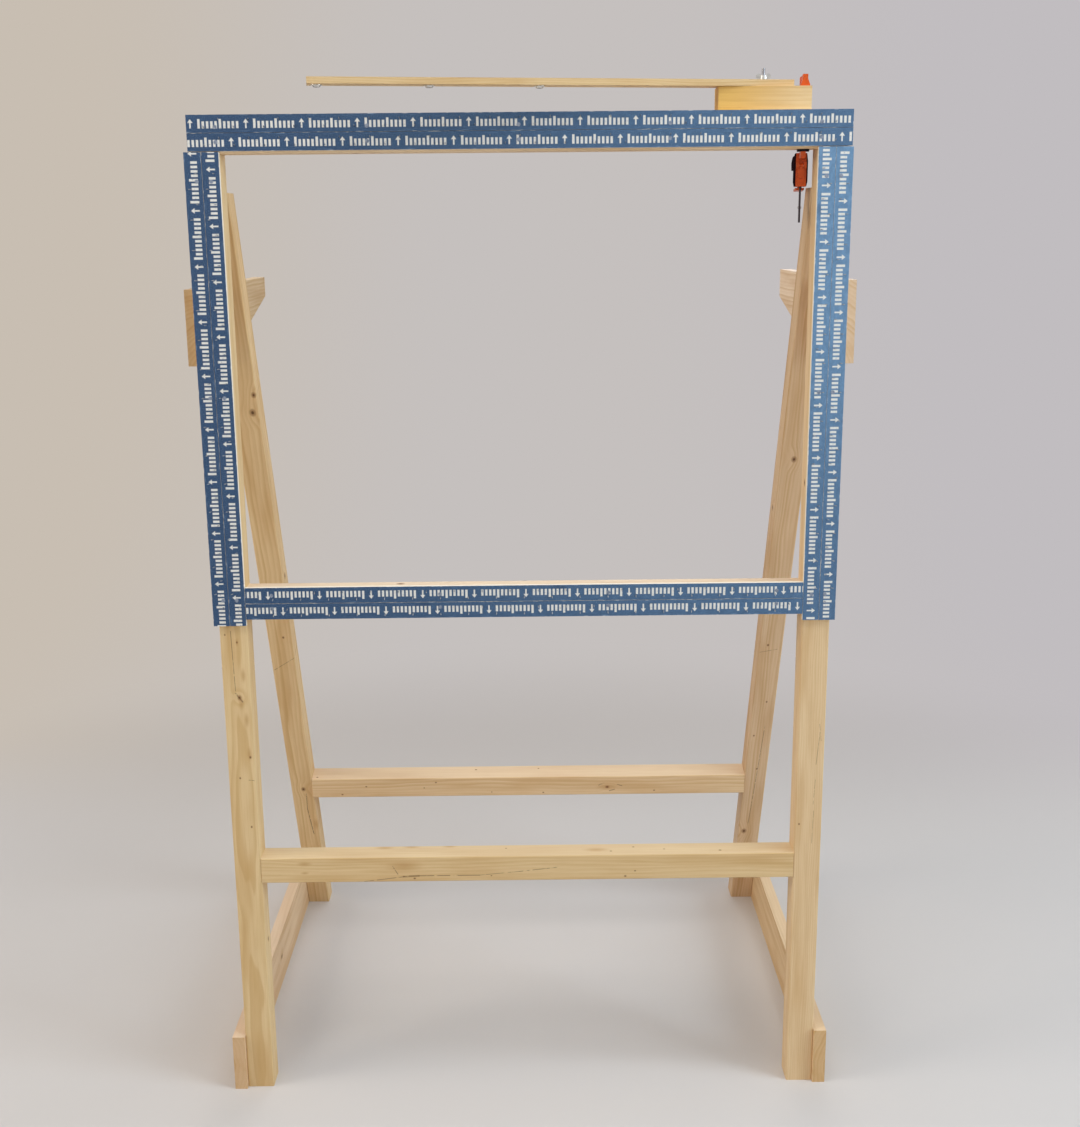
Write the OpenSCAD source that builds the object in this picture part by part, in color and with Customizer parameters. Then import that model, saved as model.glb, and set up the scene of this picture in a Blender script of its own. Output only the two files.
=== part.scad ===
// Free-standing tufting frame of square timber: uprights with three cross bars, leaning rear
// legs, tack strips round the cloth window, and a swinging yarn arm on a clamped block.
// The origin is on the floor, under the centre of the whole frame's outline. +Z is up,
// +X is to the right and the cloth side faces -Y.

/* [Timber frame] */
// Width over the two uprights
frame_w = 838; // [600:1:1200]
// Height of the top bar's upper face
frame_h = 1372; // [1330:1:1700]
// Side of the square timber
lumber = 38; // [34:1:44]
// Rounding of the timber's long edges
edge_r = 2; // [0.5:0.1:4]
// Height of the lower bar's upper face
lower_bar_top = 762.2; // [600:0.1:850]
// Height of the front rail's upper face
front_rail_top = 365.8; // [250:0.1:450]

/* [Rear legs] */
// Lean of the rear legs from the vertical
leg_lean = 23.3; // [18:0.1:28]
// Depth of the rear legs' level top cut below the top bar's upper face
leg_top_drop = 85; // [82:1:130]
// Height of the rear rail's upper front edge
rear_rail_top = 298.4; // [200:0.1:400]
// Tilt of the rear rail from the vertical
rear_rail_tilt = 11; // [0:0.5:20]

/* [Boards] */
// Thickness of the base boards and side brackets
board_t = 18; // [12:0.5:22]
// Height of the base boards
base_board_h = 85; // [70:1:120]
// Length of the base boards in front of the uprights
base_board_front = 6; // [0:0.5:30]
// Length of the base boards behind the rear legs' feet
base_board_rear = 11.3; // [0:0.1:60]
// Length of the side brackets
bracket_len = 474; // [300:1:560]
// Distance from the bracket's front end to where its underside starts to rise
bracket_taper_start = 190; // [170:1:260]
// Depth of the left bracket's lower edge below the top bar's upper face
bracket_left_drop = 306; // [282:0.1:372]
// Height of the left bracket's front end
bracket_left_h = 99; // [80:1:120]
// Height of the left bracket's rear end
bracket_left_end_h = 30; // [20:1:60]
// Depth of the right bracket's lower edge below the top bar's upper face
bracket_right_drop = 310.3; // [282:0.1:372]
// Height of the right bracket's front end
bracket_right_h = 108; // [80:1:120]
// Height of the right bracket's rear end
bracket_right_end_h = 43; // [20:1:60]

/* [Tack strips] */
// Width of one tack strip
strip_w = 22; // [18:0.5:25]
// Thickness of the tack strips
strip_t = 6.4; // [5:0.1:9]
// Seam between the two strips of a pair
strip_seam = 0.4; // [0.1:0.1:2]
// How far the top pair stands above the top bar
top_strip_rise = 9.3; // [0:0.1:14]
// How far the top pair runs past the right end of the top bar
top_strip_past = 4; // [0:0.1:10]
// Seam between the top pair and the upper ends of the side pairs
corner_seam = 0.9; // [0.2:0.1:3]
// How far the side pairs stand past the uprights' outer faces
side_strip_overhang = 5.7; // [0:0.1:12]
// How far the side pairs run below the lower bar
side_strip_drop = 11; // [0:0.1:60]
// How far the lower pair stands above the lower bar
lower_strip_rise = 4.3; // [0:0.1:10]

/* [Tack pins and nails] */
// Diameter of a tack pin
pin_d = 1.3; // [0.8:0.1:2]
// How far the pins stand out of the strip
pin_out = 4.5; // [2:0.1:7]
// Lean of the pins towards the frame's outside
pin_lean = 25; // [0:1:40]
// Distance between the pins of one row
pin_pitch = 38; // [20:1:80]
// Distance between the two rows of a strip
pin_row_gap = 9; // [6:0.5:12]
// Diameter of a strip nail's head
nail_head_d = 5; // [3:0.1:8]
// Diameter of a strip nail's shank
nail_d = 2; // [1.5:0.1:3]
// Length of a strip nail
nail_len = 20; // [14:1:22]
// How far a nail's head stands out of the strip
nail_head_out = 0.5; // [0.2:0.1:1]
// Distance between the nails of a strip
nail_pitch = 190; // [100:1:300]

/* [Wood screws] */
// Diameter of the screw shanks
screw_d = 4.2; // [3:0.1:5]
// Diameter of the countersunk heads
screw_head_d = 8.2; // [6:0.1:10]
// Length of the screws through the timber
long_screw_len = 75; // [60:1:90]
// Length of the screws through the boards
short_screw_len = 45; // [30:1:50]
// Distance between the two screws of a joint
screw_pair = 16; // [12:0.5:18]
// Distance between the two screws of a board
board_screw_pair = 44; // [30:1:50]

/* [Yarn arm] */
// Length of the block under the arm
block_len = 118; // [90:1:200]
// Height of the block under the arm
block_h = 38; // [30:1:60]
// Distance from the frame's right side to the block's right end
block_inset = 48.5; // [47:0.1:300]
// Length of the arm
arm_len = 610; // [400:1:800]
// Width of the arm
arm_w = 30; // [22:1:40]
// Thickness of the arm
arm_t = 8; // [6:0.5:12]
// Length of the arm behind its pivot
arm_tail = 36; // [20:1:38]
// Swing of the arm towards the front as it stands
arm_angle = 8.5; // [0:0.5:30]
// Distance from the arm's free end to the first eyelet
eyelet_end = 12; // [10:0.5:40]
// Distance between the eyelets
eyelet_pitch = 137; // [60:1:180]
// Bore of an eyelet
eyelet_bore = 7; // [4:0.1:9]
// Wall of an eyelet's barrel
eyelet_wall = 1.1; // [0.6:0.1:2]
// Diameter of an eyelet's flanges
eyelet_flange_d = 14.5; // [13:0.1:18]
// Thickness of an eyelet's flanges
eyelet_flange_t = 0.9; // [0.5:0.1:1.5]
// Length of an eyelet's lip below the arm
eyelet_lip = 3; // [1.5:0.1:5]

/* [Pivot] */
// Diameter of the pivot bolt
bolt_d = 4.2; // [3:0.1:6]
// Width of the bolt's hexagon head over its corners
bolt_head_d = 9; // [7:0.1:12]
// Height of the bolt's head
bolt_head_h = 3; // [2:0.1:5]
// Depth of the recess for the head in the block's underside
bolt_recess = 6; // [5:0.1:12]
// Diameter of that recess
bolt_recess_d = 14; // [13:0.1:20]
// Length of bolt that shows above the arm
bolt_out = 14.7; // [10:0.1:25]
// Diameter of the washer
washer_d = 12; // [9:0.1:18]
// Thickness of the washer
washer_t = 1; // [0.5:0.1:2]
// Diameter of the wing nut's hub
nut_hub_d = 8.4; // [7:0.1:11]
// Height of the wing nut's hub
nut_hub_h = 4.6; // [3:0.1:8]
// Span of the wings
nut_span = 19; // [15:0.1:30]
// Diameter of a wing
nut_wing_d = 6.6; // [5:0.1:9]
// Thickness of a wing
nut_wing_t = 1.8; // [1:0.1:3]

/* [Clamp] */
// Distance from the block's right end to the middle of the clamp's foot
clamp_in = 6.5; // [6.4:0.1:12]
// Turn of the clamp about its foot, its handle towards the nearer upright
clamp_turn = 7; // [0:0.5:7]
// Thickness of the clamp's steel bar
clamp_bar_t = 2.3; // [1.5:0.1:3]
// Width of the steel bar
clamp_bar_w = 9; // [7:0.1:11]
// Distance from the timber's rear face to the steel bar
clamp_bar_back = 9; // [8:0.1:20]
// Length of the steel bar below the top bar
clamp_bar_drop = 91.4; // [80:0.1:140]
// Diameter of the stop pin near the bar's lower end
stop_pin_d = 3; // [2:0.1:4]
// Length of the stop pin
stop_pin_len = 4.6; // [3.5:0.1:8]
// Distance from the bar's lower end to the stop pin
stop_pin_up = 19.1; // [5:0.1:20]
// Reach of the jaws in front of the steel bar
jaw_reach = 39; // [30:0.5:45]
// Height of the top jaw's arm
jaw_h = 14.8; // [12:0.1:20]
// Width of the top jaw's web
jaw_web = 6.5; // [4:0.1:9]
// Width of the top jaw's foot
jaw_foot_w = 12; // [10:0.1:12.6]
// Length of the top jaw's foot and of the lower jaw's pad
jaw_foot_len = 13; // [9:0.1:20]
// Height of the top jaw's head behind the block
jaw_head_h = 26; // [20:0.5:40]
// Wall of the top jaw's head round the steel bar
jaw_head_wall = 3.2; // [2:0.1:4]
// Width of the lower jaw's pad
lower_pad_w = 15; // [10:0.1:17]
// Thickness of the lower jaw's pad
lower_pad_t = 2.7; // [1.5:0.1:4]
// Width of the lower jaw's neck
neck_w = 6.4; // [4:0.1:9]
// Height of the lower jaw's neck
neck_h = 8; // [6:0.1:10]
// Height of the clamp's body
body_h = 42; // [40:0.5:50]
// Distance from the top of the lower jaw's neck down to the body's top
body_drop = 0.5; // [0.1:0.1:2]
// Width of the body's middle part
core_w = 13.6; // [9:0.1:14]
// Thickness of each side grip
grip_t = 1.9; // [1.2:0.1:3]
// Height over which the grips thin towards the body's top
grip_taper_top = 10; // [4:0.5:14]
// Height over which the grips thin towards the body's base
grip_taper_base = 6; // [3:0.5:10]
// Wall of the body in front of the steel bar
body_front = 6; // [5:0.1:8]
// Wall of the body behind the steel bar
body_rear = 12; // [11:0.1:16]
// Length of the handle behind the body
handle_len = 48; // [35:1:65]
// Height of the handle
handle_h = 18; // [14:0.5:19]
// Distance from the body's top to the handle's top
handle_drop = 2; // [0:0.1:3]
// Width of the trigger
trigger_w = 11.4; // [8:0.1:12]
// Thickness of the trigger
trigger_t = 2.8; // [2:0.1:4]
// Length of the trigger
trigger_len = 42; // [34:1:44]
// How far the trigger drops towards its end
trigger_fall = 1; // [0:0.1:2]
// Gap between the body and the trigger below it
trigger_gap = 1.5; // [1.3:0.1:3]
// Diameter of the trigger's pin
trigger_pin_d = 3; // [2:0.1:3.6]
// Diameter of the release lever's pin
release_pin_d = 2.4; // [1.5:0.1:3]
// Length of the release lever below its pin
release_len = 16; // [10:0.5:18]
// Thickness of the release lever
release_t = 3; // [2:0.1:3.5]

/* [Fits] */
// Gap between faces that slide past each other
slip = 0.3; // [0.2:0.05:0.5]
// Radial gap of a turning shaft in its hole
running_gap = 0.06; // [0.02:0.01:0.1]
// Radial gap of a fixed pin or screw in its hole
fixed_gap = 0.03; // [0.01:0.01:0.06]

/* [Hidden] */
$fn = 32;
cut = 1;                     // how far a cutting shape reaches past the face it cuts
LEFT = -1;
RIGHT = 1;
SIDES = [LEFT, RIGHT];

// Colours
WOOD_FRONT = [0.84, 0.69, 0.46];
WOOD_LEG = [0.76, 0.59, 0.37];
WOOD_BOARD = [0.87, 0.75, 0.55];
WOOD_BLOCK = [0.86, 0.68, 0.41];
STRIP_BLUE = [0.27, 0.43, 0.62];
STEEL = [0.66, 0.67, 0.69];
DARK_STEEL = [0.30, 0.31, 0.33];
ORANGE = [0.90, 0.36, 0.08];
BLACK = [0.09, 0.09, 0.10];

// Timber frame
half_w = frame_w / 2;
inner_half = half_w - lumber;
upright_top = frame_h - lumber;

// Rear legs: a leg's front edge runs from the upright's rear face down to the floor
leg_top = frame_h - leg_top_drop;
leg_slope = tan(leg_lean);
leg_depth = lumber / cos(leg_lean);
leg_foot_front = lumber + leg_top * leg_slope;
leg_foot_back = leg_foot_front + leg_depth;
function leg_front(z) = lumber + (leg_top - z) * leg_slope;
function leg_middle(z) = leg_front(z) + leg_depth / 2;

// Yarn arm on its block
block_right = half_w - block_inset;
block_left = block_right - block_len;
pivot_x = block_right - block_len / 2;
pivot_y = slip + lumber / 2;
block_base = frame_h + slip;
block_top = block_base + block_h;
arm_base = block_top + slip;
arm_top = arm_base + arm_t;
arm_reach = arm_len - arm_tail;

// The frame's outline from front to back, whose middle is the origin
arm_front = arm_reach * sin(arm_angle) + arm_w / 2 * cos(arm_angle) - pivot_y;
pins_front = strip_t + pin_out;
outline_front = max(arm_front, pins_front, base_board_front);
outline_back = leg_foot_back + base_board_rear;
timber_y = (outline_front - outline_back) / 2;     // y of the uprights' front face

// Tack strips
strip_pair_w = 2 * strip_w + strip_seam;
top_pair_high = frame_h + top_strip_rise;
top_pair_low = top_pair_high - strip_pair_w;
side_pair_out = half_w + side_strip_overhang;
side_pair_in = side_pair_out - strip_pair_w;
side_pair_high = top_pair_low - corner_seam;
side_pair_low = lower_bar_top - lumber - side_strip_drop;
lower_pair_high = lower_bar_top + lower_strip_rise;
lower_pair_half = side_pair_in - strip_seam;
pin_end_gap = 14;            // from a strip's end to its first pin
nail_end_gap = 36;           // from a strip's end to its first nail
pin_tip = 2;                 // length of a pin's point
pin_tip_d = 0.2;             // width of a pin's blunt end
pin_root = 3;                // length of a pin inside its strip
outer_nail_in = 4;           // from the outer strip's middle towards the window

// Wood screws
screw_head_h = (screw_head_d - screw_d) / 2;
screw_tip = 5;
screw_tip_r = 0.6;
recess_w = 1.1;
recess_len = 4.8;
recess_depth = 1.4;
board_screw_out = half_w + board_t;
rail_screw_back = 2;         // from the rear rail's middle to its screws

// Clamp
clamp_x = block_right - clamp_in;
bar_front = lumber + clamp_bar_back;
bar_back = bar_front + clamp_bar_w;
bar_low = upright_top - clamp_bar_drop;
jaw_front = bar_front - jaw_reach;
jaw_top = block_top + jaw_h;
foot_middle = jaw_front + jaw_foot_len / 2;
jaw_cap = 3;                 // material over the steel bar's upper end
foot_rim = 1.6;              // height of the foot's straight rim
foot_flare = 7.6;            // height of the foot's sloped sides
grip_rim = 0.5;              // thickness of the grips at the body's top and base
head_half = clamp_bar_t / 2 + jaw_head_wall;
neck_top = upright_top - slip - lower_pad_t;
neck_base = neck_top - neck_h;
body_top = neck_top - body_drop;
body_base = body_top - body_h;
body_y0 = bar_front - body_front;
body_y1 = bar_back + body_rear;
handle_top = body_top - handle_drop;
handle_base = handle_top - handle_h;
handle_end = body_y1 + handle_len;
handle_round = handle_h / 2;
cavity_wall = 2.5;
cavity_floor = 12.5;         // height of the cavity's floor above the body's base
cavity_roof = 2;             // material between the cavity and the neck's underside
cavity_low = body_base + cavity_floor;
cavity_high = neck_base - cavity_roof;
plate_t = 2;
plate_rim = 0.5;             // gap between the plates and the cavity's walls
plate_end = 3;               // gap between a plate and the cavity's nearer end
drive_plate_z = cavity_low + plate_end;
brake_plate_z = cavity_high - plate_end - plate_t;
spring_back = 5;             // from the steel bar's rear edge to the spring's middle
spring_y = bar_back + spring_back;
spring_d = 4.4;
spring_bore = 2.8;
trigger_pin_in = 3;          // from the body's rear face to the trigger's pin
trigger_pin_up = 5.5;        // from the body's base to the trigger's pin
trigger_pin_y = body_y1 - trigger_pin_in;
trigger_pin_z = body_base + trigger_pin_up;
trigger_eye_r = 4;
tongue_w = 5.4;
slot_w = tongue_w + 2 * slip;
trigger_clear = 2;           // gap between the steel bar and the trigger's front end
trigger_front = bar_back + trigger_clear;
trigger_high = body_base - trigger_gap;
trigger_flat = 2;            // how far the trigger's level part runs past the body
ear_len = 5;
ear_h = 8;
release_pin_up = 26.5;       // from the body's base to the release lever's pin
release_y = body_y0 - ear_len / 2;
release_z = body_base + release_pin_up;
release_eye_r = 2.4;
release_w = 9;

// Helpers
module in_frame() {
  translate([0, timber_y, 0]) children();
}

module rounded_section(size, r) {
  translate([r, 0]) square([size.x - 2 * r, size.y]);
  translate([0, r]) square([size.x, size.y - 2 * r]);
  for (px = [r, size.x - r], py = [r, size.y - r]) translate([px, py]) circle(r = r);
}

// A timber that runs along X from -half to half, its lower front edge at y, z
module cross_timber(half, y, z) {
  translate([-half, y, z])
    rotate([90, 0, 90])
      linear_extrude(2 * half) rounded_section([lumber, lumber], edge_r);
}

// A shape drawn in the y-z plane and given a width along X, about x = 0
module side_extrude(width) {
  translate([-width / 2, 0, 0])
    rotate([90, 0, 90])
      linear_extrude(width) children();
}

// A wood screw with its head's top at the origin, pointing down; a grown one cuts its hole
module wood_screw(len, grow = 0) {
  shank_r = screw_d / 2 + grow;
  head_r = screw_head_d / 2 + grow;
  difference() {
    rotate_extrude()
      polygon([
        [0, -len - grow], [screw_tip_r, -len - grow], [shank_r, -len + screw_tip],
        [shank_r, -screw_head_h], [head_r, 0], [head_r, grow], [0, grow]
      ]);
    if (grow == 0)
      for (turn = [0, 90])
        rotate([0, 0, turn])
          translate([-recess_len / 2, -recess_w / 2, -recess_depth])
            cube([recess_len, recess_w, recess_depth + cut]);
  }
}

// Screws driven inwards through the face at x = side * out, at each [y, z] of places
module side_screws(side, out, places, len, grow) {
  for (place = places)
    translate([side * out, place.x, place.y])
      rotate([0, side * 90, 0]) wood_screw(len, grow);
}

// The places of a joint's two screws, one above the other about z
function screw_places(y, z, gap) = [[y, z - gap / 2], [y, z + gap / 2]];

module top_bar_screws(grow = 0) {
  for (side = SIDES, dy = [-1, 1])
    translate([side * (half_w - lumber / 2), lumber / 2 + dy * screw_pair / 2, frame_h])
      wood_screw(long_screw_len, grow);
}

module lower_bar_screws(grow = 0) {
  places = screw_places(lumber / 2, lower_bar_top - lumber / 2, screw_pair);
  for (side = SIDES) side_screws(side, half_w, places, long_screw_len, grow);
}

module front_rail_screws(grow = 0) {
  places = screw_places(lumber / 2, front_rail_top - lumber / 2, screw_pair);
  for (side = SIDES) side_screws(side, half_w, places, long_screw_len, grow);
}

module rear_rail_screws(grow = 0) {
  for (side = SIDES, k = [-1, 1])
    translate([side * half_w, leg_front(rear_rail_top), rear_rail_top])
      rotate([rear_rail_tilt, 0, 0])
        translate([0, lumber / 2 + rail_screw_back, -lumber / 2 + k * screw_pair / 2])
          rotate([0, side * 90, 0]) wood_screw(long_screw_len, grow);
}

module base_board_screws(grow = 0) {
  z = base_board_h / 2;
  upright_places = screw_places(lumber / 2, z, board_screw_pair);
  leg_places = [
    [leg_middle(z - board_screw_pair / 2), z - board_screw_pair / 2],
    [leg_middle(z + board_screw_pair / 2), z + board_screw_pair / 2]
  ];
  for (side = SIDES)
    side_screws(side, board_screw_out, concat(upright_places, leg_places), short_screw_len, grow);
}

function bracket_base(side) = frame_h - (side == LEFT ? bracket_left_drop : bracket_right_drop);
function bracket_h(side) = side == LEFT ? bracket_left_h : bracket_right_h;
function bracket_end_h(side) = side == LEFT ? bracket_left_end_h : bracket_right_end_h;

module bracket_screws(grow = 0) {
  for (side = SIDES) {
    z = bracket_base(side) + bracket_h(side) / 2;
    upright_places = screw_places(lumber / 2, z, board_screw_pair);
    leg_places = [
      [leg_middle(z - board_screw_pair / 2), z - board_screw_pair / 2],
      [leg_middle(z + board_screw_pair / 2), z + board_screw_pair / 2]
    ];
    side_screws(side, board_screw_out, concat(upright_places, leg_places), short_screw_len, grow);
  }
}

// Timber
module upright(side) {
  color(WOOD_FRONT) in_frame() difference() {
    translate([side * (half_w - lumber / 2) - lumber / 2, 0, 0])
      linear_extrude(upright_top) rounded_section([lumber, lumber], edge_r);
    top_bar_screws(fixed_gap);
    lower_bar_screws(fixed_gap);
    front_rail_screws(fixed_gap);
    base_board_screws(fixed_gap);
    bracket_screws(fixed_gap);
  }
}

module top_bar() {
  color(WOOD_FRONT) in_frame() difference() {
    cross_timber(half_w, 0, upright_top);
    top_bar_screws(fixed_gap);
  }
}

module lower_bar() {
  color(WOOD_FRONT) in_frame() difference() {
    cross_timber(inner_half, 0, lower_bar_top - lumber);
    lower_bar_screws(fixed_gap);
  }
}

module front_rail() {
  color(WOOD_FRONT) in_frame() difference() {
    cross_timber(inner_half, 0, front_rail_top - lumber);
    front_rail_screws(fixed_gap);
  }
}

module rear_leg(side) {
  stock_past = leg_depth;      // extra length that the level cuts take off
  stock_len = leg_top / cos(leg_lean) + 2 * stock_past;
  color(WOOD_LEG) in_frame() difference() {
    intersection() {
      translate([side * (half_w - lumber / 2) - lumber / 2, leg_foot_front, 0])
        rotate([leg_lean, 0, 0])
          translate([0, 0, -stock_past])
            linear_extrude(stock_len) rounded_section([lumber, lumber], edge_r);
      translate([-frame_w, 0, 0]) cube([2 * frame_w, outline_back, leg_top]);
    }
    rear_rail_screws(fixed_gap);
    base_board_screws(fixed_gap);
    bracket_screws(fixed_gap);
  }
}

module rear_rail() {
  color(WOOD_LEG) in_frame() difference() {
    translate([0, leg_front(rear_rail_top), rear_rail_top])
      rotate([rear_rail_tilt, 0, 0]) cross_timber(inner_half, 0, -lumber);
    rear_rail_screws(fixed_gap);
  }
}

module base_board(side) {
  color(WOOD_BOARD) in_frame() difference() {
    translate([side * (half_w + board_t / 2) - board_t / 2, -base_board_front, 0])
      cube([board_t, base_board_front + outline_back, base_board_h]);
    base_board_screws(fixed_gap);
  }
}

module side_bracket(side) {
  base = bracket_base(side);
  top = base + bracket_h(side);
  color(WOOD_BOARD) in_frame() difference() {
    translate([side * (half_w + board_t / 2), 0, 0])
      side_extrude(board_t)
        polygon([
          [0, base], [bracket_taper_start, base], [bracket_len, top - bracket_end_h(side)],
          [bracket_len, top], [0, top]
        ]);
    bracket_screws(fixed_gap);
  }
}

// Tack strips: row 0 is the one nearer to the cloth window
module strip(x0, z0, size_x, size_z) {
  color(STRIP_BLUE) in_frame()
    translate([x0, -strip_t, z0]) cube([size_x, strip_t, size_z]);
}

function strip_offset(row) = row * (strip_w + strip_seam);
top_strip_len = frame_w + top_strip_past;
side_strip_len = side_pair_high - side_pair_low;

module top_strip(row) {
  strip(-half_w, top_pair_low + strip_offset(row), top_strip_len, strip_w);
}

module lower_strip(row) {
  strip(-lower_pair_half, lower_pair_high - strip_w - strip_offset(row), 2 * lower_pair_half, strip_w);
}

module side_strip(side, row) {
  middle = side_pair_in + strip_offset(row) + strip_w / 2;
  strip(side * middle - strip_w / 2, side_pair_low, strip_w, side_strip_len);
}

// One tack pin on a strip's front face, leaning towards +Z
module tack_pin() {
  shaft = pin_out / cos(pin_lean) - pin_tip;
  rotate([90 - pin_lean, 0, 0]) {
    translate([0, 0, -pin_root]) cylinder(d = pin_d, h = pin_root + shaft);
    translate([0, 0, shaft]) cylinder(d1 = pin_d, d2 = pin_tip_d, h = pin_tip);
  }
}

// Pins of one pair of strips: along X from 0 to len, leaning towards +Z, the pair's edge
// nearer to the window at z = 0
module pin_field(len) {
  count = floor((len - 2 * pin_end_gap) / pin_pitch);
  for (row = [0, 1], line = [0, 1], k = [0 : count - 1 + (1 - line)]) {
    along = len / 2 + (k - count / 2 + line / 2) * pin_pitch;
    across = strip_offset(row) + strip_w / 2 + (line - 0.5) * pin_row_gap;
    translate([along, 0, across]) tack_pin();
  }
}

module top_pins() {
  color(STEEL) in_frame() translate([-half_w, -strip_t, top_pair_low]) pin_field(top_strip_len);
}

module lower_pins() {
  color(STEEL) in_frame()
    translate([-lower_pair_half, -strip_t, lower_pair_high])
      mirror([0, 0, 1]) pin_field(2 * lower_pair_half);
}

module side_pins(side) {
  color(STEEL) in_frame()
    translate([side * side_pair_in, -strip_t, side_pair_low])
      mirror([side == LEFT ? 1 : 0, 0, 0])
        mirror([1, 0, -1]) pin_field(side_strip_len);
}

// A nail with its head on a strip's front face, driven back into the timber
module strip_nail() {
  rotate([90, 0, 0]) {
    translate([0, 0, -nail_len]) cylinder(d = nail_d, h = nail_len);
    cylinder(d = nail_head_d, h = nail_head_out);
  }
}

// Nails along X from 0 to len, down the middle of the part of the strips that lies on timber
module nail_line(len, across) {
  count = max(1, floor((len - 2 * nail_end_gap) / nail_pitch));
  step = (len - 2 * nail_end_gap) / count;
  for (k = [0 : count]) translate([nail_end_gap + k * step, 0, across]) strip_nail();
}

module strip_nails() {
  near = strip_w / 2;
  far = strip_offset(1) + strip_w / 2 - outer_nail_in;
  color(DARK_STEEL) in_frame() for (across = [near, far]) {
    translate([-half_w, -strip_t, top_pair_low]) nail_line(frame_w, across);
    translate([-lower_pair_half, -strip_t, lower_pair_high])
      mirror([0, 0, 1]) nail_line(2 * lower_pair_half, across);
    for (side = SIDES)
      translate([side * side_pair_in, -strip_t, side_pair_low])
        mirror([side == LEFT ? 1 : 0, 0, 0])
          mirror([1, 0, -1]) nail_line(side_strip_len, across);
  }
}

// Yarn arm
module arm_block() {
  color(WOOD_BLOCK) in_frame() difference() {
    translate([block_left, slip, block_base]) cube([block_len, lumber, block_h]);
    translate([pivot_x, pivot_y, block_base - cut]) {
      cylinder(d = bolt_recess_d, h = bolt_recess + cut);
      cylinder(r = bolt_d / 2 + fixed_gap, h = block_h + 2 * cut);
    }
  }
}

module on_arm() {
  in_frame() translate([pivot_x, pivot_y, arm_base]) rotate([0, 0, arm_angle]) children();
}

function eyelet_along(k) = eyelet_end - arm_reach + k * eyelet_pitch;
eyelet_barrel_r = eyelet_bore / 2 + eyelet_wall;
eyelet_lip_wall = 0.8;       // wall of an eyelet's barrel at its rolled end

module yarn_arm() {
  color(WOOD_BOARD) on_arm() difference() {
    translate([-arm_reach, -arm_w / 2, 0]) cube([arm_len, arm_w, arm_t]);
    translate([0, 0, -cut]) cylinder(r = bolt_d / 2 + running_gap, h = arm_t + 2 * cut);
    for (k = [0 : 2])
      translate([eyelet_along(k), 0, -cut])
        cylinder(r = eyelet_barrel_r + fixed_gap, h = arm_t + 2 * cut);
  }
}

module yarn_eyelet(k) {
  bore_r = eyelet_bore / 2;
  flange_r = eyelet_flange_d / 2;
  lip_r = bore_r + eyelet_lip_wall;
  color(STEEL) on_arm() translate([eyelet_along(k), 0, 0])
    rotate_extrude()
      polygon([
        [bore_r, -eyelet_lip], [lip_r, -eyelet_lip], [eyelet_barrel_r + eyelet_wall, -eyelet_flange_t],
        [flange_r, -eyelet_flange_t], [flange_r, 0], [eyelet_barrel_r, 0],
        [eyelet_barrel_r, arm_t], [flange_r, arm_t], [flange_r - eyelet_flange_t, arm_t + eyelet_flange_t],
        [bore_r, arm_t + eyelet_flange_t]
      ]);
}

module pivot_bolt() {
  head_top = block_base + bolt_recess;
  color(STEEL) in_frame() translate([pivot_x, pivot_y, 0]) {
    translate([0, 0, head_top - bolt_head_h]) cylinder(d = bolt_head_d, h = bolt_head_h, $fn = 6);
    translate([0, 0, head_top]) cylinder(d = bolt_d, h = arm_top + bolt_out - head_top);
  }
}

module arm_washer() {
  color(STEEL) in_frame() translate([pivot_x, pivot_y, arm_top]) difference() {
    cylinder(d = washer_d, h = washer_t);
    translate([0, 0, -cut]) cylinder(r = bolt_d / 2 + running_gap, h = washer_t + 2 * cut);
  }
}

module wing_nut() {
  wing_x = (nut_span - nut_wing_d) / 2;
  nut_wing_sink = 0.8;         // from the hub's top down to a wing's middle
  nut_web_up = 1.2;            // from the hub's base up to the web between the wings
  color(STEEL) in_frame() translate([pivot_x, pivot_y, arm_top + washer_t + slip]) difference() {
    union() {
      cylinder(d = nut_hub_d, h = nut_hub_h);
      for (side = SIDES)
        translate([side * wing_x, 0, nut_hub_h - nut_wing_sink])
          rotate([90, 0, 0]) cylinder(d = nut_wing_d, h = nut_wing_t, center = true);
      translate([-wing_x, -nut_wing_t / 2, nut_web_up])
        cube([2 * wing_x, nut_wing_t, nut_hub_h - nut_web_up]);
    }
    translate([0, 0, -cut]) cylinder(r = bolt_d / 2 + running_gap, h = nut_hub_h + nut_wing_d + 2 * cut);
  }
}

// Clamp: everything is drawn about its middle plane x = 0 and turned about its foot's middle
module on_clamp() {
  in_frame() translate([clamp_x, foot_middle, 0])
    rotate([0, 0, -clamp_turn]) translate([0, -foot_middle, 0]) children();
}

// A shape drawn in the x-z plane and given a depth along Y, from y0 to y1
module front_extrude(y0, y1) {
  translate([0, y1, 0]) rotate([90, 0, 0]) linear_extrude(y1 - y0) children();
}

// The steel bar's cross-section with a gap all round, cut from z0 to z1
module bar_cut(gap, z0, z1) {
  translate([-clamp_bar_t / 2 - gap, bar_front - gap, z0])
    cube([clamp_bar_t + 2 * gap, clamp_bar_w + 2 * gap, z1 - z0]);
}

module clamp_bar() {
  color(DARK_STEEL) on_clamp() difference() {
    bar_cut(0, bar_low, jaw_top - jaw_cap);
    translate([0, (bar_front + bar_back) / 2, bar_low + stop_pin_up])
      rotate([0, 90, 0]) cylinder(r = stop_pin_d / 2 + fixed_gap, h = clamp_bar_t + 2 * cut, center = true);
  }
}

module clamp_stop_pin() {
  color(STEEL) on_clamp()
    translate([0, (bar_front + bar_back) / 2, bar_low + stop_pin_up])
      rotate([0, 90, 0]) cylinder(d = stop_pin_d, h = stop_pin_len, center = true);
}

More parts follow.
